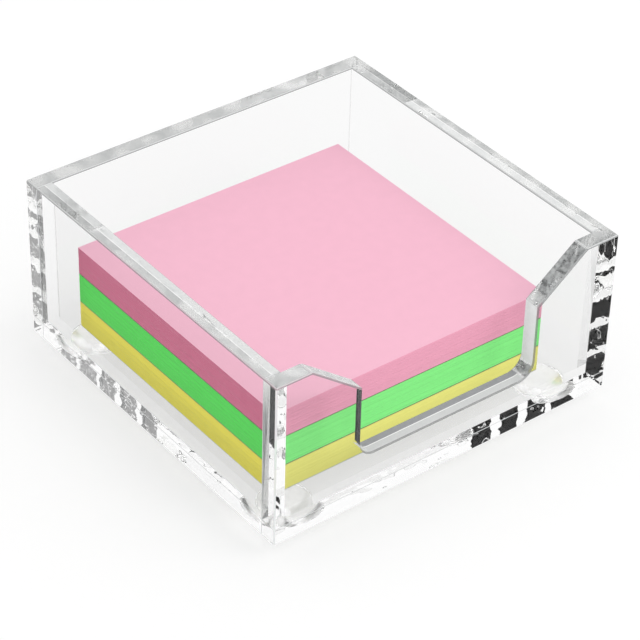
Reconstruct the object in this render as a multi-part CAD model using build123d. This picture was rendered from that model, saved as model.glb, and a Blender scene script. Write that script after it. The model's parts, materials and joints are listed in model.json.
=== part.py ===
from build123d import *
import os

os.makedirs("parts", exist_ok=True)

# Clear acrylic memo pad holder with three pads of sticky notes. Lengths are in millimetres.
# +X runs to the right along the notched front, +Y to the back and +Z up. The origin is the
# middle of the footprint, on the surface that the feet stand on.

# Sticky-note pads, from the bottom of the stack to the top
pad_side = 76.2                 # square notes
yellow_block = 6.8              # height of the glued block of notes, without its backing
green_block = 7.7
pink_block = 7.2
backing = 0.3                   # stiff sheet under each block
note = 0.1                      # one sheet of paper
glue_strip = 19.0               # glued width along the back edge of a note

# Room around the stack inside the walls
gap_left = 2.4
gap_right = 8.4
gap_front = 4.9
gap_back = 5.9

# Box: five panels of one acrylic sheet, cemented edge to face
sheet = 4.5
wall_height = 38.5              # from the top of the base plate to the rim
edge_ease = 0.35                # polished-off corner along each exposed edge

# Notch in the front wall, the same at both ends
notch_land = 9.5                # flat rim left at each end of the wall
notch_run = 13.7                # width of the sloped shoulder
notch_drop = 10.5               # height of the sloped shoulder
notch_sill = 9.0                # from the top of the base plate to the notch floor
notch_radius = 4.0              # corners of the notch floor

# Clear domed feet, stuck to the underside
foot_diameter = 12.7
foot_height = 3.5
foot_rim = 0.6                  # upright side under the glued face
foot_flat = 3.0                 # diameter that touches the table
foot_margin = 4.65              # from the outside of the box to the side of a foot

# Worked out from the sizes above
inner_width = gap_left + pad_side + gap_right
inner_depth = gap_front + pad_side + gap_back
box_width = inner_width + 2 * sheet
box_depth = inner_depth + 2 * sheet
floor_z = foot_height + sheet
rim_z = floor_z + wall_height


def block(x_range, y_range, z_range):
    """A box between the given limits along X, Y and Z."""
    lows, highs = zip(x_range, y_range, z_range)
    sizes = [high - low for low, high in zip(lows, highs)]
    return Pos(*lows) * Box(*sizes, align=Align.MIN)


def centred(length):
    """The limits of a length centred on zero."""
    return -length / 2, length / 2


def notch_cutter():
    """The opening of the front wall, as a prism that runs past both of its faces."""
    rim_half = box_width / 2 - notch_land
    throat_half = rim_half - notch_run
    bend_z = rim_z - notch_drop
    sill_z = floor_z + notch_sill
    right_side = [(throat_half, sill_z), (throat_half, bend_z), (rim_half, rim_z), (rim_half, rim_z + sheet)]
    left_side = [(-x, z) for x, z in reversed(right_side)]
    outline = make_face(Polyline(*left_side, *right_side, close=True))
    outline = fillet(outline.vertices().group_by(Axis.Y)[0], notch_radius)
    front_face = Plane.XZ.offset(box_depth / 2)
    return extrude(front_face * outline, amount=2 * sheet, both=True)


def exposed_edges(shell):
    """The corners of the box that a hand can touch, apart from the inside corners."""
    def is_exposed(edge):
        middle = edge.center()
        on_side = abs(abs(middle.X) - box_width / 2) < edge_ease / 10
        on_end = abs(abs(middle.Y) - box_depth / 2) < edge_ease / 10
        on_rim = abs(middle.Z - rim_z) < edge_ease / 10
        on_inner_front = abs(middle.Y + inner_depth / 2) < edge_ease / 10
        in_notch = abs(middle.X) < box_width / 2 - notch_land and middle.Z > floor_z + notch_sill / 2
        return on_side or on_end or on_rim or (on_inner_front and in_notch)
    return shell.edges().filter_by(is_exposed)


def polished_shell():
    """The five cemented panels as one open box, with its exposed edges eased."""
    outside = block(centred(box_width), centred(box_depth), (foot_height, rim_z))
    inside = block(centred(inner_width), centred(inner_depth), (floor_z, rim_z))
    shell = outside - inside - notch_cutter()
    return chamfer(exposed_edges(shell), edge_ease)


def panels():
    """The shell divided where its panels meet: end walls full width, side walls between them."""
    shell = polished_shell()
    walls_z = (floor_z, rim_z)
    full_width = centred(box_width)
    full_depth = centred(box_depth)
    between_ends = centred(inner_depth)
    return {
        "base_plate": shell & block(full_width, full_depth, (foot_height, floor_z)),
        "front_wall": shell & block(full_width, (-box_depth / 2, -inner_depth / 2), walls_z),
        "back_wall": shell & block(full_width, (inner_depth / 2, box_depth / 2), walls_z),
        "left_wall": shell & block((-box_width / 2, -inner_width / 2), between_ends, walls_z),
        "right_wall": shell & block((inner_width / 2, box_width / 2), between_ends, walls_z),
    }


def foot():
    """A bumper foot centred on the Z axis: a disc whose lower side is cut off to a sphere."""
    radius = foot_diameter / 2
    dome = foot_height - foot_rim
    centre_z = (radius**2 + dome**2 - (foot_flat / 2) ** 2) / (2 * dome)
    sphere_radius = (centre_z**2 + (foot_flat / 2) ** 2) ** 0.5
    disc = Cylinder(radius, foot_height, align=(Align.CENTER, Align.CENTER, Align.MIN))
    return disc & Pos(0, 0, centre_z) * Sphere(sphere_radius)


def feet():
    """One foot near each corner of the base plate."""
    x = box_width / 2 - foot_margin - foot_diameter / 2
    y = box_depth / 2 - foot_margin - foot_diameter / 2
    corners = {"front_left": (-x, -y), "front_right": (x, -y), "back_left": (-x, y), "back_right": (x, y)}
    return {f"foot_{corner}": Pos(*place, 0) * foot() for corner, place in corners.items()}


def pads():
    """The three pads in their stack, and the free part of the top note."""
    left = -inner_width / 2 + gap_left
    front = -inner_depth / 2 + gap_front
    across = (left, left + pad_side)
    along = (front, front + pad_side)
    nodes = {}
    bottom_z = floor_z
    for colour, height in (("yellow", yellow_block), ("green", green_block), ("pink", pink_block)):
        block_z = bottom_z + backing
        nodes[f"{colour}_pad_backing"] = block(across, along, (bottom_z, block_z))
        nodes[f"{colour}_pad"] = block(across, along, (block_z, block_z + height))
        bottom_z = block_z + height
    # the free part of the top note is a piece of its own, in front of its glued strip
    leaf = block(across, (front, front + pad_side - glue_strip), (bottom_z - note, bottom_z))
    nodes["pink_pad"] -= leaf
    nodes["pink_top_note"] = leaf
    return nodes


for name, solid in {**panels(), **feet(), **pads()}.items():
    export_step(solid, f"parts/{name}.step")
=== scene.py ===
import json
import math

import bmesh
import bpy
from mathutils import Matrix, Vector

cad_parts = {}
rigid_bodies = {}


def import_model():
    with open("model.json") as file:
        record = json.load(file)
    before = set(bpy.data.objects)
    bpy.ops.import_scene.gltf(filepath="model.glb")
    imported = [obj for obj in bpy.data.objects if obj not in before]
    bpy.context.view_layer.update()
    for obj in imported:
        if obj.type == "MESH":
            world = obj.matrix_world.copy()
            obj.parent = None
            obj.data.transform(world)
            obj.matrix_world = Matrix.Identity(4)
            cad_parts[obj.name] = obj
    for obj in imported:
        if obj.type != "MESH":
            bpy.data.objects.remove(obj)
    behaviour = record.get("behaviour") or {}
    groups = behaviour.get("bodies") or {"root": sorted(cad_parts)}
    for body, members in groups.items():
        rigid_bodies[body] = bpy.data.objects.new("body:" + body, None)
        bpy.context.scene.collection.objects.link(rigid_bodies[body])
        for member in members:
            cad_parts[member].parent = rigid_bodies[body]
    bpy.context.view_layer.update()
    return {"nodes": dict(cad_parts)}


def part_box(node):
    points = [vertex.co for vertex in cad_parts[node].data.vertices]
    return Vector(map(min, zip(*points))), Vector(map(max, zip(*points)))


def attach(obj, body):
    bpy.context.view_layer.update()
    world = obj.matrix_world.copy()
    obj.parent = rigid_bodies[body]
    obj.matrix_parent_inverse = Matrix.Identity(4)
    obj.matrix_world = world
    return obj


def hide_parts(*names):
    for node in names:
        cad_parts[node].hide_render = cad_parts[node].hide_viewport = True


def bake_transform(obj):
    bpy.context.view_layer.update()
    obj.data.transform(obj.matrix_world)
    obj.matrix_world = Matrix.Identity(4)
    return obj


for leftover in list(bpy.data.objects):      # start-up cube, lamp and camera
    bpy.data.objects.remove(leftover)

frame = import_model()
scene = bpy.context.scene
mm = 0.001                                   # one millimetre in metres


# ---- small helpers

def toLinear(hexColour):                     # sRGB hex to the linear colour that a socket takes
    channels = [int(hexColour[i:i + 2], 16) / 255 for i in (1, 3, 5)]
    return [c / 12.92 if c <= 0.04045 else ((c + 0.055) / 1.055) ** 2.4 for c in channels] + [1.0]


def addNode(tree, kind, inputs=None, **settings):
    node = tree.nodes.new(kind)
    for name, value in settings.items():
        setattr(node, name, value)
    for name, value in (inputs or {}).items():
        if isinstance(value, bpy.types.NodeSocket):
            tree.links.new(value, node.inputs[name])
        else:
            node.inputs[name].default_value = value
    return node


def newMaterial(name):
    material = bpy.data.materials.new(name)
    material.use_nodes = True
    material.node_tree.nodes.clear()
    return material, material.node_tree


def calculator(tree):                        # maths on sockets and numbers, one node a call
    def maths(operation, a, b=0.0, c=0.0):
        return addNode(tree, "ShaderNodeMath", {0: a, 1: b, 2: c}, operation=operation).outputs[0]
    return maths


def mixColour(tree, share, first, second):
    return addNode(tree, "ShaderNodeMix", {0: share, 6: first, 7: second}, data_type="RGBA").outputs[2]


def mixShader(tree, share, first, second):
    return addNode(tree, "ShaderNodeMixShader", {0: share, 1: first, 2: second}).outputs[0]


def noise(tree, place, scale, detail):
    return addNode(tree, "ShaderNodeTexNoise", {"Vector": place, "Scale": scale, "Detail": detail}).outputs[0]


def stretched(tree, value, source, target):  # from one span of values to another
    return addNode(tree, "ShaderNodeMapRange", {
        "Value": value, "From Min": source[0], "From Max": source[1],
        "To Min": target[0], "To Max": target[1]}).outputs[0]


def newObject(name, mesh):
    piece = bpy.data.objects.new(name, mesh)
    scene.collection.objects.link(piece)
    return piece


def plainMesh(piece):                        # modifiers applied, so that the export sees only faces
    bpy.context.view_layer.update()
    evaluated = piece.evaluated_get(bpy.context.evaluated_depsgraph_get())
    finished = bpy.data.meshes.new_from_object(evaluated)
    piece.modifiers.clear()
    piece.data = finished
    finished.name = piece.name
    return piece


# ---- polished cast acrylic sheet

plateLow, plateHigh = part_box("base_plate")
frontLow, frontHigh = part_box("front_wall")
footLow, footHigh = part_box("foot_back_right")

acrylic = {
    # places on the box, from its middle and from the desk, mm
    "outerFace": plateHigh.x / mm,
    "innerFace": -frontHigh.y / mm,
    "underside": plateLow.z / mm,
    "plateTop": plateHigh.z / mm,
    "rim": frontHigh.z / mm,
    "footCentre": (footLow.x + footHigh.x) / 2 / mm,
    "footRadius": (footHigh.x - footLow.x) / 2 / mm,
    "bentZones": (2.7, 6.3, 4.6, 6.8, 6.65),    # from the left, right, front, back and bottom
    "cutSpan": (-39.0, 39.0), "cutHeight": (16.5, 46.4), "sillTop": 17.3,
    "besideCut": -26.6, "besideHeight": (20.0, 38.5), "cornerTop": 23.0, "cornerSlant": 0.6,
    "rimEase": 0.4, "browHeight": 46.32,     # the upper part of the eased edge goes with the rim
    "seamWidth": 0.2, "filletWidth": 0.3,
    "touch": 0.03, "wallRoom": 0.1,          # how near a point counts as on a face, or in a wall
    "turned": 0.3,                           # a face turned away has less than this of its normal
    # how light passes
    "refraction": 1.491,
    "windowTint": "#FCFCFC",                 # what one face of a pane lets through
    "cutTint": "#BEC0C0",                    # what a cut edge lets through
    "gloss": 0.2, "innerGloss": 0.15,        # shares of its mirror, which the photo nearly lacks
    # waves of the hand-polished faces and tool marks of the milled notch, mm
    "waveLength": 5.0, "waveHeight": 0.034, "waveDetail": 0.7, "entryWave": 0.3,
    "millLength": 1.1, "millHeight": 0.05, "millDetail": 3.0, "millRoughness": 0.12,
    "millPaintedShade": "#303233", "millPaintedShadeShare": 0.9,    # painted shade: the dark diffuse that the milled faces show when seen from inside the sheet, and its share
    # painted reflections: two tones from the inside out and the fine line between them, painted to stand for
    # what the far side of the sheet throws back; place and half width of the line in mm
    "sillPaintedReflections": ("#9A9CA0", "#DADCDC", "#FFFFFF"), "sillReflectionLine": (2.2, 0.14),
    "rimPaintedReflections": ("#DEE0E0", "#B4B6B6", "#FFFFFF"), "rimReflectionLine": (2.25, 0.1),
    # clouding of the cemented joints
    "jointShades": ("#4C4E50", "#B4B6B6"), "streak": (0.5, 9.0), "streakDetail": 2.0,
    "jointFade": (36.0, 46.5), "jointAngle": (0.36, 0.58), "jointDepth": 0.8,
    # thin films that scatter a little light: shade and share; on the slopes, throat, seams and fillets they
    # are the sheet's own, while the sill and rim tones are painted reflections, the ridge lines painted
    # shade, the brow painted reflection and the corner lines painted highlights
    "slopeFilm": ("#C2C4C4", 0.52), "throatFilm": ("#F6F8F8", 0.8), "sillReflectionFilm": 0.85, "rimHazeAndReflectionFilm": 0.5,
    "ridgeFilm": ("#8C8E8E", 0.75), "browFilm": ("#D0D2D2", 0.85), "cornerFilm": ("#ECEEEE", 0.9),
    "seamFilm": ("#D6D8D8", 1.0), "filletFilm": ("#C4C6C6", 0.25),
    "noiseSpan": (0.35, 0.65), "swirlSpan": (0.4, 1.6), "patchSpan": (0.5, 1.5),
}


def sheetAreas(tree, settings):              # which part of the box a point of the acrylic is on
    maths = calculator(tree)
    outer, inner, rim = settings["outerFace"], settings["innerFace"], settings["rim"]

    def near(value, place, room=settings["touch"]):
        return maths("COMPARE", value, place, room)

    def either(*masks):
        joined = masks[0]
        for mask in masks[1:]:
            joined = maths("MAXIMUM", joined, mask)
        return joined

    def both(*masks):
        joined = masks[0]
        for mask in masks[1:]:
            joined = maths("MULTIPLY", joined, mask)
        return joined

    def without(mask):
        return maths("SUBTRACT", 1.0, mask)

    def between(value, limits):
        return both(maths("GREATER_THAN", value, limits[0]), maths("LESS_THAN", value, limits[1]))

    coordinates = addNode(tree, "ShaderNodeTexCoord")
    place = addNode(tree, "ShaderNodeVectorMath", {0: coordinates.outputs["Object"], "Scale": 1 / mm},
                    operation="SCALE").outputs[0]
    x, y, z = addNode(tree, "ShaderNodeSeparateXYZ", {0: place}).outputs
    absX, absY = maths("ABSOLUTE", x), maths("ABSOLUTE", y)
    turned = addNode(tree, "ShaderNodeVectorMath", {0: coordinates.outputs["Normal"]}, operation="ABSOLUTE")
    facing = addNode(tree, "ShaderNodeSeparateXYZ", {0: turned.outputs[0]})
    facesX, facesY, facesZ = [near(share, 1.0) for share in facing.outputs]

    beyondX, beyondY = [maths("GREATER_THAN", distance, inner) for distance in (absX, absY)]
    overFloor = both(without(beyondX), without(beyondY))
    onPlateTop = both(facesZ, near(z, settings["plateTop"]))
    onUnderside = both(facesZ, near(z, settings["underside"]))
    onOutsideX = both(facesX, near(absX, outer))
    onOutsideY = both(facesY, near(absY, outer))
    onInsideX = both(facesX, near(absX, inner))
    onInsideY = both(facesY, near(absY, inner), without(beyondX))
    onRim = both(facesZ, near(z, rim))
    inFrontWall = maths("LESS_THAN", y, settings["wallRoom"] - inner)
    inNotch = both(inFrontWall, between(x, settings["cutSpan"]), between(z, settings["cutHeight"]))

    # the milled faces of the notch, and beside them the strip through which the upright one shows
    notch = both(inNotch, maths("LESS_THAN", facing.outputs["Y"], settings["turned"]))
    sill = both(notch, maths("LESS_THAN", z, settings["sillTop"]))
    throat = both(notch, maths("LESS_THAN", facing.outputs["Z"], settings["turned"]))
    slant = maths("MULTIPLY", maths("MAXIMUM", maths("SUBTRACT", settings["cornerTop"], z), 0.0),
                  settings["cornerSlant"])
    besideCut = both(onOutsideY, inFrontWall, between(z, settings["besideHeight"]),
                     maths("LESS_THAN", x, 0.0),
                     maths("GREATER_THAN", maths("SUBTRACT", x, slant), settings["besideCut"]))
    eased = without(either(facesX, facesY, facesZ, notch))
    cut = either(notch, both(eased, inNotch))
    # on the eased edges: painted reflection on the brow, painted shade on the ridge lines, painted highlights
    # on the corners
    brow = both(eased, maths("GREATER_THAN", z, settings["browHeight"]))
    ridge = both(eased, either(inNotch, maths("GREATER_THAN", z, rim - settings["rimEase"])), without(brow))
    corner = both(eased, without(ridge), without(brow))

    # panes are the parts of the flat faces that one looks straight through
    left, right, front, back, bottom = settings["bentZones"]
    above = maths("GREATER_THAN", z, settings["underside"] + bottom)
    pane = either(both(onOutsideX, between(y, (front - outer, outer - back)), above),
                  both(onOutsideY, between(x, (left - outer, outer - right)), above, without(besideCut)),
                  onInsideX, onInsideY, both(onPlateTop, overFloor), onUnderside)

    # cemented joints and the stuck feet let light straight on
    offFoot = addNode(tree, "ShaderNodeCombineXYZ", {
        0: maths("SUBTRACT", absX, settings["footCentre"]),
        1: maths("SUBTRACT", absY, settings["footCentre"])})
    footDistance = addNode(tree, "ShaderNodeVectorMath", {0: offFoot.outputs[0]}, operation="LENGTH")
    stuck = both(onUnderside, maths("LESS_THAN", footDistance.outputs["Value"], settings["footRadius"]))
    upright = both(facesY, near(absY, inner), beyondX)
    cemented = either(both(onPlateTop, without(overFloor)), upright, stuck)
    halfSeam = settings["seamWidth"] / 2
    seam = either(both(either(onOutsideX, onOutsideY), near(z, settings["plateTop"], halfSeam)),
                  both(either(onOutsideX, both(onRim, beyondX)), near(absY, inner, halfSeam)))
    fillet = both(onInsideY, maths("GREATER_THAN", absX, inner - settings["filletWidth"]))
    sideRim = both(onRim, beyondX, without(beyondY))
    intoX, intoY = [maths("SUBTRACT", distance, inner) for distance in (absX, absY)]
    return {"place": place, "z": z, "pane": pane, "notch": notch, "cut": cut, "sill": sill,
            "throat": throat, "rim": onRim, "sideRim": sideRim, "intoX": intoX, "intoY": intoY,
            "eased": eased, "brow": brow, "ridge": ridge, "corner": corner, "cemented": cemented,
            "upright": upright, "seam": seam, "fillet": fillet}


def sheetRelief(tree, settings, areas, waves, mill, inside):
    # the waves are gentler where light comes in, and tool marks are left in the notch alone
    maths = calculator(tree)
    waving = maths("MULTIPLY_ADD", inside, 1.0 - settings["entryWave"], settings["entryWave"])
    waveHeight = maths("MULTIPLY", maths("MULTIPLY", waves, waving), settings["waveHeight"] * mm)
    millHeight = maths("MULTIPLY", maths("MULTIPLY", mill, areas["notch"]), settings["millHeight"] * mm)
    height = maths("ADD", waveHeight, millHeight)
    return addNode(tree, "ShaderNodeBump", {"Height": height, "Distance": 1.0}).outputs[0]


def bentLight(tree, settings, areas, relief, inside):
    # light is bent on its way in, and the faces catch it inside; seen from inside, the milled ones get
    # painted shade, a dark diffuse
    maths = calculator(tree)
    dull = maths("MULTIPLY", areas["notch"], settings["millRoughness"])
    entry = addNode(tree, "ShaderNodeBsdfRefraction", {
        "Color": (1, 1, 1, 1), "IOR": settings["refraction"], "Roughness": dull, "Normal": relief})
    innerGloss = (settings["innerGloss"],) * 3 + (1,)
    caught = addNode(tree, "ShaderNodeBsdfPrincipled", {
        "Base Color": (1, 1, 1, 1), "IOR": settings["refraction"], "Transmission Weight": 1.0,
        "Specular Tint": innerGloss, "Roughness": dull, "Normal": relief})
    paintedMillShade = addNode(tree, "ShaderNodeBsdfDiffuse", {"Color": toLinear(settings["millPaintedShade"])})
    paintedShadeShare = maths("MULTIPLY", maths("MULTIPLY", areas["cut"], inside), settings["millPaintedShadeShare"])
    solid = mixShader(tree, inside, entry.outputs[0], caught.outputs[0])
    return mixShader(tree, paintedShadeShare, solid, paintedMillShade.outputs[0])


def thinFilms(tree, settings, areas, waves, mill):
    # mask, colour and share of each film: frosted swirls on the slopes, painted reflections as tones on the
    # sill and the rim, painted shade, reflection and highlight lines on the eased edges, and fine lines on
    # the seams and the cement in the inside corners
    maths = calculator(tree)

    def reflectionBands(depth, tones, line):
        place, halfWidth = line
        inner, outer, between = [toLinear(shade) for shade in tones]
        tone = mixColour(tree, maths("LESS_THAN", depth, place), outer, inner)
        return mixColour(tree, maths("COMPARE", depth, place, halfWidth), tone, between)

    swirl = stretched(tree, mill, settings["noiseSpan"], settings["swirlSpan"])
    patchy = stretched(tree, waves, settings["noiseSpan"], settings["patchSpan"])
    # painted reflections on the sill and the rims, in bands from the inside out; the front and back rims take
    # the darker tone
    sillReflection = reflectionBands(areas["intoY"], settings["sillPaintedReflections"], settings["sillReflectionLine"])
    sideTone = reflectionBands(areas["intoX"], settings["rimPaintedReflections"], settings["rimReflectionLine"])
    rimReflection = mixColour(tree, areas["sideRim"], toLinear(settings["rimPaintedReflections"][1]), sideTone)
    slopeShade, slopeShare = settings["slopeFilm"]
    films = [
        (areas["notch"], toLinear(slopeShade), maths("MULTIPLY", swirl, slopeShare)),
        (areas["throat"], toLinear(settings["throatFilm"][0]), settings["throatFilm"][1]),
        (areas["sill"], sillReflection, settings["sillReflectionFilm"]),
        # the rim's film is partly its own haze from the saw and partly painted reflection in two tones
        (areas["rim"], rimReflection, maths("MULTIPLY", patchy, settings["rimHazeAndReflectionFilm"])),
    ]
    for part in ("brow", "ridge", "corner", "seam", "fillet"):
        shade, share = settings[part + "Film"]
        films.append((areas[part], toLinear(shade), share))
    return films


def cementedJoint(tree, settings, areas, inside, seen):
    # a cemented joint clouds over in streaks when one looks along it, but not near the rim
    maths = calculator(tree)
    facing = addNode(tree, "ShaderNodeLayerWeight", {"Blend": 0.5}).outputs["Facing"]
    along = stretched(tree, facing, settings["jointAngle"], (0.0, settings["jointDepth"]))
    fade = stretched(tree, areas["z"], settings["jointFade"], (1.0, 0.0))
    cloudy = maths("MULTIPLY", maths("MULTIPLY", areas["upright"], fade),
                   maths("MULTIPLY", maths("MULTIPLY", inside, seen), along))
    across, down = settings["streak"]
    drawn = addNode(tree, "ShaderNodeMapping", {"Vector": areas["place"],
                                                "Scale": (1 / across, 1 / across, 1 / down)})
    streaks = noise(tree, drawn.outputs[0], 1.0, settings["streakDetail"])
    dark, light = [toLinear(shade) for shade in settings["jointShades"]]
    cement = mixColour(tree, stretched(tree, streaks, settings["noiseSpan"], (0.0, 1.0)), dark, light)
    straight = addNode(tree, "ShaderNodeBsdfTransparent")
    cloud = addNode(tree, "ShaderNodeBsdfDiffuse", {"Color": cement})
    return mixShader(tree, cloudy, straight.outputs[0], cloud.outputs[0])


def castAcrylic(settings):
    # cast sheet, saw cut and polished by hand, so that its edges wave a little; the notch is only milled
    material, tree = newMaterial("castAcrylic")
    maths = calculator(tree)
    areas = sheetAreas(tree, settings)
    path = addNode(tree, "ShaderNodeLightPath")
    inside = addNode(tree, "ShaderNodeNewGeometry").outputs["Backfacing"]
    outside = maths("SUBTRACT", 1.0, inside)
    bent = maths("GREATER_THAN", path.outputs["Transmission Depth"], 0.5)
    lighting = maths("MAXIMUM", path.outputs["Is Shadow Ray"], path.outputs["Is Diffuse Ray"])
    seen = maths("SUBTRACT", 1.0, lighting)
    notPane = maths("SUBTRACT", 1.0, areas["pane"])
    seenOutside = maths("MULTIPLY", seen, outside)
    waves = noise(tree, areas["place"], 1 / settings["waveLength"], settings["waveDetail"])
    mill = noise(tree, areas["place"], 1 / settings["millLength"], settings["millDetail"])

    # straight through the panes, and bent and caught inside the sheet everywhere else
    tint = mixColour(tree, maths("MULTIPLY", lighting, notPane), toLinear(settings["windowTint"]),
                     toLinear(settings["cutTint"]))
    clear = addNode(tree, "ShaderNodeBsdfTransparent", {"Color": tint})
    relief = sheetRelief(tree, settings, areas, waves, mill, inside)
    glass = bentLight(tree, settings, areas, relief, inside)
    edge = maths("MULTIPLY", maths("MULTIPLY", notPane, outside), maths("SUBTRACT", 1.0, areas["eased"]))
    bends = maths("MULTIPLY", seen, maths("MAXIMUM", bent, edge))
    surface = mixShader(tree, bends, clear.outputs[0], glass)

    # over all of it a thin mirror, and then the films, some of them painted reflections, shade and highlights
    fresnel = addNode(tree, "ShaderNodeFresnel", {"IOR": settings["refraction"]})
    mirrored = maths("MULTIPLY", maths("MULTIPLY", fresnel.outputs[0], settings["gloss"]), outside)
    mirror = addNode(tree, "ShaderNodeBsdfGlossy", {"Roughness": 0.0})
    surface = mixShader(tree, mirrored, surface, mirror.outputs[0])
    for mask, shade, share in thinFilms(tree, settings, areas, waves, mill):
        film = addNode(tree, "ShaderNodeBsdfDiffuse", {"Color": shade})
        cover = maths("MULTIPLY", maths("MULTIPLY", mask, seenOutside), share)
        surface = mixShader(tree, cover, surface, film.outputs[0])

    joint = cementedJoint(tree, settings, areas, inside, seen)
    whole = mixShader(tree, areas["cemented"], surface, joint)
    addNode(tree, "ShaderNodeOutputMaterial", {"Surface": whole})
    return material


sheetAcrylic = castAcrylic(acrylic)
for name in ("base_plate", "front_wall", "back_wall", "left_wall", "right_wall"):
    frame["nodes"][name].material_slots[0].material = sheetAcrylic
print("acrylic panels dressed")


# ---- feet

bumper = {
    "refraction": 1.5, "roughness": 0.2, "tint": "#FBFBFA", "shadowTint": "#F6F6F6",
    "milk": (0.3, 0.5), "bentMilk": 0.3,     # share that scatters, and how much of it the edges show
    "milkThrough": "#E8E8E8", "milkBack": "#CCCCCC",
    "swirl": 3.0, "swirlDetail": 2.0,        # mm
    "glued": footHigh.z / mm, "touch": 0.02,    # height of the face that is stuck on, mm
}


def castPolyurethane(settings):
    # clear cast resin, a little milky, with a smooth domed face
    material, tree = newMaterial("castPolyurethane")
    maths = calculator(tree)
    place = addNode(tree, "ShaderNodeTexCoord").outputs["Object"]
    height = maths("MULTIPLY", addNode(tree, "ShaderNodeSeparateXYZ", {0: place}).outputs["Z"], 1 / mm)
    glued = maths("COMPARE", height, settings["glued"], settings["touch"])
    path = addNode(tree, "ShaderNodeLightPath")
    lighting = maths("MAXIMUM", path.outputs["Is Shadow Ray"], path.outputs["Is Diffuse Ray"])
    bent = maths("GREATER_THAN", path.outputs["Transmission Depth"], 0.5)
    swirl = noise(tree, place, 1 / (settings["swirl"] * mm), settings["swirlDetail"])
    share = stretched(tree, swirl, (0.0, 1.0), settings["milk"])
    cloudy = maths("MULTIPLY", share, maths("MULTIPLY_ADD", bent, settings["bentMilk"] - 1.0, 1.0))
    resin = addNode(tree, "ShaderNodeBsdfPrincipled", {
        "Base Color": toLinear(settings["tint"]), "Roughness": settings["roughness"],
        "IOR": settings["refraction"], "Transmission Weight": 1.0})
    through = addNode(tree, "ShaderNodeBsdfTranslucent", {"Color": toLinear(settings["milkThrough"])})
    back = addNode(tree, "ShaderNodeBsdfDiffuse", {"Color": toLinear(settings["milkBack"])})
    milk = addNode(tree, "ShaderNodeAddShader", {0: through.outputs[0], 1: back.outputs[0]})
    body = mixShader(tree, cloudy, resin.outputs[0], milk.outputs[0])
    clear = addNode(tree, "ShaderNodeBsdfTransparent", {"Color": toLinear(settings["shadowTint"])})
    straight = addNode(tree, "ShaderNodeBsdfTransparent")
    whole = mixShader(tree, glued, mixShader(tree, lighting, body, clear.outputs[0]), straight.outputs[0])
    addNode(tree, "ShaderNodeOutputMaterial", {"Surface": whole})
    return material


footResin = castPolyurethane(bumper)
for name in ("foot_front_left", "foot_front_right", "foot_back_left", "foot_back_right"):
    frame["nodes"][name].material_slots[0].material = footResin
print("feet dressed")


# ---- sticky note pads

leafLow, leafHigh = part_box("pink_top_note")
noteSheet = {"thickness": leafHigh.z - leafLow.z, "slip": 0.035 * mm}
pads = {
    # the colours for the left and right edges are deeper than the front ones: painted shade
    "pink": {"top": "#FBC1D5", "front": "#F2A7BF", "side": "#D87493", "backing": "#7D8766", "seed": 3},
    "green": {"top": "#9CF29C", "front": "#8EFC8E", "side": "#5DEB60", "backing": "#7D8766", "seed": 5},
    "yellow": {"top": "#F4F290", "front": "#FAF78A", "side": "#FFF362", "backing": "#CBCBC4", "seed": 8},
}
paper = {
    "roughness": 0.85, "refraction": 1.45, "specular": 0.25,
    "fibre": 0.25 * mm, "fibreDetail": 3.0,  # long fibres are 1 to 3 mm, drawn by their width
    "relief": (0.12, 0.02 * mm),             # strength and height
    "cloud": 3.0 * mm, "cloudDetail": 2.0,   # thick and thin places of the sheet
    "cloudShade": (0.05, 0.975),             # gain and base
    "layer": 0.4 * mm, "layerRun": 25.0 * mm,    # four sheets, as single ones are too fine to show
    "layerDetail": 1.0, "layerShade": (0.02, 0.992),
    "castShade": "#C4C4C4", "castShare": 0.75,    # grays the light that the dye throws on the floor
}
card = {
    "roughness": 0.55, "pulp": 0.4 * mm, "pulpDetail": 3.0, "pulpShade": (0.92, 1.06),
    "lift": 0.04 * mm, "rubbed": 0.05 * mm, "rubbedSteps": 2,
}


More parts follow.
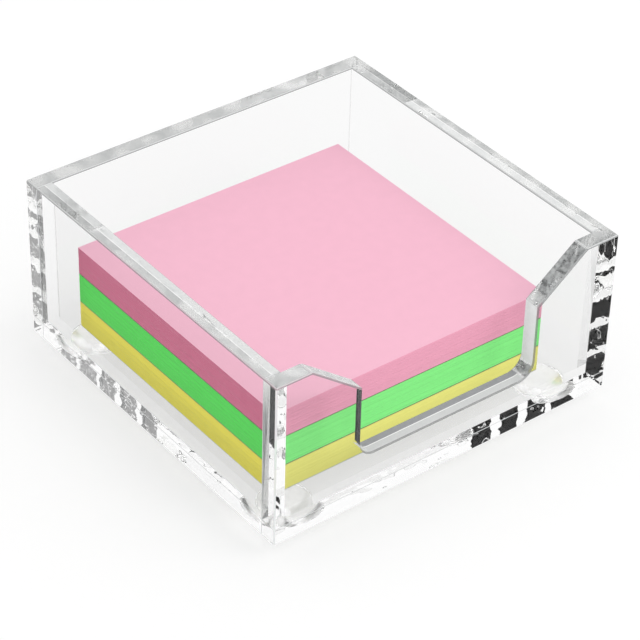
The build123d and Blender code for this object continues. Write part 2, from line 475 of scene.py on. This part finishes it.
def dyedPaper(name, colours, settings):
    # woodfree paper dyed in the pulp: matt, with a soft cloudiness, and deeper colour on its cut edges; its
    # left and right edges are deeper still, painted shade
    material, tree = newMaterial(name)
    maths = calculator(tree)
    coordinates = addNode(tree, "ShaderNodeTexCoord")
    place = coordinates.outputs["Object"]
    turned = addNode(tree, "ShaderNodeVectorMath", {0: coordinates.outputs["Normal"]}, operation="ABSOLUTE")
    facing = addNode(tree, "ShaderNodeSeparateXYZ", {0: turned.outputs[0]})
    onEdge = maths("LESS_THAN", facing.outputs["Z"], 0.5)
    onShadedSide = maths("GREATER_THAN", facing.outputs["X"], 0.5)
    face = mixColour(tree, onEdge, toLinear(colours["top"]), toLinear(colours["front"]))
    dyeAndShade = mixColour(tree, onShadedSide, face, toLinear(colours["side"]))
    cloud = noise(tree, place, 1 / settings["cloud"], settings["cloudDetail"])
    fibre = noise(tree, place, 1 / settings["fibre"], settings["fibreDetail"])
    acrossRun, acrossLayer = 1 / settings["layerRun"], 1 / settings["layer"]
    flat = addNode(tree, "ShaderNodeMapping", {"Vector": place, "Scale": (acrossRun, acrossRun, acrossLayer)})
    layers = noise(tree, flat.outputs[0], 1.0, settings["layerDetail"])
    uneven = maths("MULTIPLY_ADD", cloud, *settings["cloudShade"])
    grain = maths("MULTIPLY_ADD", maths("MULTIPLY", layers, onEdge), *settings["layerShade"])
    shade = maths("MULTIPLY", uneven, grain)
    tinted = addNode(tree, "ShaderNodeMix", {0: 1.0, 6: dyeAndShade, 7: shade}, data_type="RGBA",
                     blend_type="MULTIPLY")
    thrown = maths("MULTIPLY", addNode(tree, "ShaderNodeLightPath").outputs["Is Diffuse Ray"],
                   settings["castShare"])
    grayed = mixColour(tree, thrown, tinted.outputs[2], toLinear(settings["castShade"]))
    strength, height = settings["relief"]
    relief = addNode(tree, "ShaderNodeBump", {"Height": fibre, "Strength": strength, "Distance": height})
    surface = addNode(tree, "ShaderNodeBsdfPrincipled", {
        "Base Color": grayed, "Roughness": settings["roughness"], "IOR": settings["refraction"],
        "Specular IOR Level": settings["specular"], "Normal": relief.outputs[0]})
    addNode(tree, "ShaderNodeOutputMaterial", {"Surface": surface.outputs[0]})
    return material


def coatedCard(name, colour, settings):
    material, tree = newMaterial(name)
    place = addNode(tree, "ShaderNodeTexCoord").outputs["Object"]
    pulp = noise(tree, place, 1 / settings["pulp"], settings["pulpDetail"])
    shade = stretched(tree, pulp, (0.0, 1.0), settings["pulpShade"])
    tinted = addNode(tree, "ShaderNodeMix", {0: 1.0, 6: toLinear(colour), 7: shade}, data_type="RGBA",
                     blend_type="MULTIPLY")
    surface = addNode(tree, "ShaderNodeBsdfPrincipled", {
        "Base Color": tinted.outputs[2], "Roughness": settings["roughness"]})
    addNode(tree, "ShaderNodeOutputMaterial", {"Surface": surface.outputs[0]})
    return material


def sheetStackTree():
    # a line of flat cuboids, one for each sheet, each slipped a hair out of line
    tree = bpy.data.node_groups.new("sheetStack", "GeometryNodeTree")
    sockets = (("Sheets", "NodeSocketInt"), ("Size", "NodeSocketVector"), ("Lowest", "NodeSocketVector"),
               ("Slip", "NodeSocketFloat"), ("Seed", "NodeSocketInt"), ("Paper", "NodeSocketMaterial"))
    for name, kind in sockets:
        tree.interface.new_socket(name, in_out="INPUT", socket_type=kind)
    tree.interface.new_socket("Stack", in_out="OUTPUT", socket_type="NodeSocketGeometry")
    given = addNode(tree, "NodeGroupInput").outputs
    thickness = addNode(tree, "ShaderNodeSeparateXYZ", {0: given["Size"]}).outputs["Z"]
    step = addNode(tree, "ShaderNodeCombineXYZ", {2: thickness})
    line = addNode(tree, "GeometryNodeMeshLine", {"Count": given["Sheets"], "Start Location": given["Lowest"],
                                                  "Offset": step.outputs[0]}, mode="OFFSET")
    cuboid = addNode(tree, "GeometryNodeMeshCube", {"Size": given["Size"]})
    least = addNode(tree, "ShaderNodeMath", {0: given["Slip"], 1: -1.0}, operation="MULTIPLY")
    low = addNode(tree, "ShaderNodeCombineXYZ", {0: least.outputs[0], 1: least.outputs[0]})
    high = addNode(tree, "ShaderNodeCombineXYZ", {0: given["Slip"], 1: given["Slip"]})
    slip = addNode(tree, "FunctionNodeRandomValue", {"Min": low.outputs[0], "Max": high.outputs[0],
                                                     "Seed": given["Seed"]}, data_type="FLOAT_VECTOR")
    slipped = addNode(tree, "GeometryNodeSetPosition", {
        "Geometry": line.outputs[0], "Offset": slip.outputs[0]})
    sheets = addNode(tree, "GeometryNodeInstanceOnPoints", {"Points": slipped.outputs[0],
                                                            "Instance": cuboid.outputs["Mesh"]})
    real = addNode(tree, "GeometryNodeRealizeInstances", {0: sheets.outputs[0]})
    dyed = addNode(tree, "GeometryNodeSetMaterial", {"Geometry": real.outputs[0], "Material": given["Paper"]})
    addNode(tree, "NodeGroupOutput", {0: dyed.outputs[0]})
    return tree


def noteStack(name, tree, low, high, sheets, seed, material):
    # sheets fill the room of the block that CAD gives, from its lowest corner
    stack = newObject(name, bpy.data.meshes.new(name))
    modifier = stack.modifiers.new("sheetStack", "NODES")
    modifier.node_group = tree
    thickness = (high.z - low.z) / sheets
    middle = (low + high) / 2
    values = {"Sheets": sheets, "Size": (high.x - low.x, high.y - low.y, thickness),
              "Lowest": (middle.x, middle.y, low.z + thickness / 2), "Slip": noteSheet["slip"],
              "Seed": seed, "Paper": material}
    for socket in tree.interface.items_tree:
        if socket.in_out == "INPUT":
            modifier[socket.identifier] = values[socket.name]
    return plainMesh(stack)


def backingCard(name, low, high, material, settings):
    # a stiff card with rubbed corners, a hair clear of what it lies on
    lift = settings["lift"]
    bm = bmesh.new()
    bmesh.ops.create_cube(bm, size=1.0)
    size = Vector((high.x - low.x, high.y - low.y, high.z - low.z - lift))
    centre = Vector(((low.x + high.x) / 2, (low.y + high.y) / 2, (high.z + low.z + lift) / 2))
    placing = Matrix.Translation(centre) @ Matrix.Diagonal(size).to_4x4()
    bmesh.ops.transform(bm, verts=bm.verts, matrix=placing)
    bmesh.ops.bevel(bm, geom=list(bm.edges), offset=settings["rubbed"],
                    segments=settings["rubbedSteps"], affect="EDGES")
    mesh = bpy.data.meshes.new(name)
    bm.to_mesh(mesh)
    bm.free()
    mesh.materials.append(material)
    return newObject(name, mesh)


stackTree = sheetStackTree()
papers = {}
for colour, pad in pads.items():
    papers[colour] = dyedPaper(colour + "DyedPaper", pad, paper)
    low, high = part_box(colour + "_pad")
    if colour == "pink":                     # its top sheet is a piece of its own
        high = Vector((high.x, high.y, high.z - noteSheet["thickness"]))
    sheets = round((high.z - low.z) / noteSheet["thickness"])
    stack = noteStack(colour + "Sheets", stackTree, low, high, sheets, pad["seed"], papers[colour])
    stack.visible_transmission = False       # the cut edges of the box show none of the pads
    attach(stack, colour + "_notes")
    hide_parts(colour + "_pad")
    low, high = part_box(colour + "_pad_backing")
    coating = coatedCard(colour + "CoatedCard", pad["backing"], card)
    backing = backingCard(colour + "Backing", low, high, coating, card)
    backing.visible_transmission = False
    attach(backing, colour + "_notes")
    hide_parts(colour + "_pad_backing")
    print("stacked", sheets, colour, "sheets")


# ---- top sheet, built flat in rows along its length; on the real pad it peels up from its glued strip

topSheet = {"rows": 48, "bend": 12.0 * mm}


def peelingSheet(name, settings, material):
    padLow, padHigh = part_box("pink_pad")
    bm = bmesh.new()
    rings = []
    for row in range(settings["rows"] + 1):
        y = leafLow.y + (padHigh.y - leafLow.y) * row / settings["rows"]
        corners = ((padLow.x, leafLow.z), (padHigh.x, leafLow.z),
                   (padHigh.x, leafHigh.z), (padLow.x, leafHigh.z))
        rings.append([bm.verts.new((x, y, z)) for x, z in corners])
    for ring, following in zip(rings, rings[1:]):
        for i in range(4):
            bm.faces.new((ring[i], ring[(i + 1) % 4], following[(i + 1) % 4], following[i]))
    bm.faces.new(rings[0])
    bm.faces.new(rings[-1])
    bmesh.ops.recalc_face_normals(bm, faces=bm.faces)
    mesh = bpy.data.meshes.new(name)
    bm.to_mesh(mesh)
    bm.free()
    mesh.materials.append(material)
    sheet = newObject(name, mesh)
    sheet.visible_transmission = False
    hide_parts("pink_top_note")
    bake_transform(sheet)
    return sheet


peelingSheet("pinkTopSheet", topSheet, papers["pink"])
print("top sheet made")


# ---- floor and studio

studio = {
    "floor": "#F2F2F2",
    "floorGlow": 0.5,                        # share that comes through it, as on a light table
    "floorLight": 1.15, "floorHalf": 3.0,    # metres
    "ambient": 0.84,
    "cardEdge": 0.02,                        # half width of their soft edge, as a cosine
    "cards": [                               # dark cards out of view, seen only in the cut edges
        {"towards": (-0.5, 0.628, 0.597), "size": 24.0, "shade": 0.0},
        {"towards": (0.5, -0.628, 0.597), "size": 24.0, "shade": 0.33},
    ],
    "gaps": (12.5, 0.5, 0.024),              # fine bright gaps in them: scale, level, half width
    "lamps": [
        {"name": "keyLamp", "at": (0.55, -0.85, 1.15), "size": 0.8, "power": 5.3},
    ],
}


def studioFloor(settings):
    bm = bmesh.new()
    bmesh.ops.create_grid(bm, x_segments=1, y_segments=1, size=settings["floorHalf"])
    mesh = bpy.data.meshes.new("studioFloor")
    bm.to_mesh(mesh)
    bm.free()
    material, tree = newMaterial("lightTable")
    matt = addNode(tree, "ShaderNodeBsdfDiffuse", {"Color": toLinear(settings["floor"])})
    glow = addNode(tree, "ShaderNodeEmission", {"Strength": settings["floorLight"]})
    whole = mixShader(tree, settings["floorGlow"], matt.outputs[0], glow.outputs[0])
    addNode(tree, "ShaderNodeOutputMaterial", {"Surface": whole})
    mesh.materials.append(material)
    newObject("studioFloor", mesh)


def studioWorld(settings):
    world = bpy.data.worlds.new("studioWorld")
    scene.world = world
    world.use_nodes = True
    tree = world.node_tree
    tree.nodes.clear()
    maths = calculator(tree)
    direction = addNode(tree, "ShaderNodeTexCoord").outputs["Generated"]
    shade = 1.0
    for dark in settings["cards"]:
        towards = addNode(tree, "ShaderNodeVectorMath", {
            0: direction, 1: Vector(dark["towards"]).normalized()}, operation="DOT_PRODUCT")
        rim = math.cos(math.radians(dark["size"]))
        edge = (rim - settings["cardEdge"], rim + settings["cardEdge"])
        cover = stretched(tree, towards.outputs["Value"], edge, (1.0, dark["shade"]))
        shade = maths("MULTIPLY", shade, cover)
    scale, level, halfWidth = settings["gaps"]
    gaps = maths("COMPARE", noise(tree, direction, scale, 0.0), level, halfWidth)
    shade = maths("MAXIMUM", shade, gaps)
    path = addNode(tree, "ShaderNodeLightPath")
    reflected = maths("MAXIMUM", path.outputs["Is Glossy Ray"], path.outputs["Is Transmission Ray"])
    cards = addNode(tree, "ShaderNodeBackground", {"Strength": shade})
    ambient = addNode(tree, "ShaderNodeBackground", {"Strength": settings["ambient"]})
    white = addNode(tree, "ShaderNodeBackground", {"Strength": 1.0})
    for background in (cards, ambient, white):
        background.inputs["Color"].default_value = (1, 1, 1, 1)
    unseen = mixShader(tree, reflected, ambient.outputs[0], cards.outputs[0])
    whole = mixShader(tree, path.outputs["Is Camera Ray"], unseen, white.outputs[0])
    addNode(tree, "ShaderNodeOutputWorld", {"Surface": whole})


def softLamp(settings):
    light = bpy.data.lights.new(settings["name"], "AREA")
    light.shape = "DISK"
    light.size = settings["size"]
    light.energy = settings["power"]
    lamp = newObject(settings["name"], light)
    lamp.location = settings["at"]
    lamp.rotation_euler = (-Vector(settings["at"])).to_track_quat("-Z", "Y").to_euler()
    lamp.visible_camera = lamp.visible_glossy = lamp.visible_transmission = False


studioFloor(studio)
studioWorld(studio)
for lampSettings in studio["lamps"]:
    softLamp(lampSettings)
print("studio lit")


# ---- camera at the photograph's place

camera = {
    "target": (-8.073, -11.539, 25.0),       # mm
    "azimuth": -38.505, "elevation": 36.629, "roll": 1.644,
    "distance": 588.555,                     # mm
    "focalPixels": 2590.59, "frameWidth": 640,    # pixels
    "sensor": 36.0,                          # mm
    "clip": (0.01, 10.0),                    # metres
}


def photoCamera(settings):
    azimuth, elevation, roll = [math.radians(settings[turn]) for turn in ("azimuth", "elevation", "roll")]
    back = Vector((math.sin(azimuth) * math.cos(elevation), -math.cos(azimuth) * math.cos(elevation),
                   math.sin(elevation)))
    right = Vector((0, 0, 1)).cross(back).normalized()
    up = back.cross(right)
    rolledRight = math.cos(roll) * right + math.sin(roll) * up
    rolledUp = math.cos(roll) * up - math.sin(roll) * right
    lens = bpy.data.cameras.new("photoCamera")
    lens.sensor_width = settings["sensor"]
    lens.lens = settings["focalPixels"] * settings["sensor"] / settings["frameWidth"]
    lens.clip_start, lens.clip_end = settings["clip"]
    viewer = newObject("photoCamera", lens)
    turn = Matrix((rolledRight, rolledUp, back)).transposed().to_4x4()
    spot = (Vector(settings["target"]) + back * settings["distance"]) * mm
    viewer.matrix_world = Matrix.Translation(spot) @ turn
    scene.camera = viewer


photoCamera(camera)
scene.view_settings.view_transform = "Standard"
sheetBounces, paneBounces = 32, 48           # light runs a long way inside the sheet before it leaves
scene.cycles.max_bounces = sheetBounces
scene.cycles.transmission_bounces = sheetBounces
scene.cycles.glossy_bounces = sheetBounces
scene.cycles.transparent_max_bounces = paneBounces
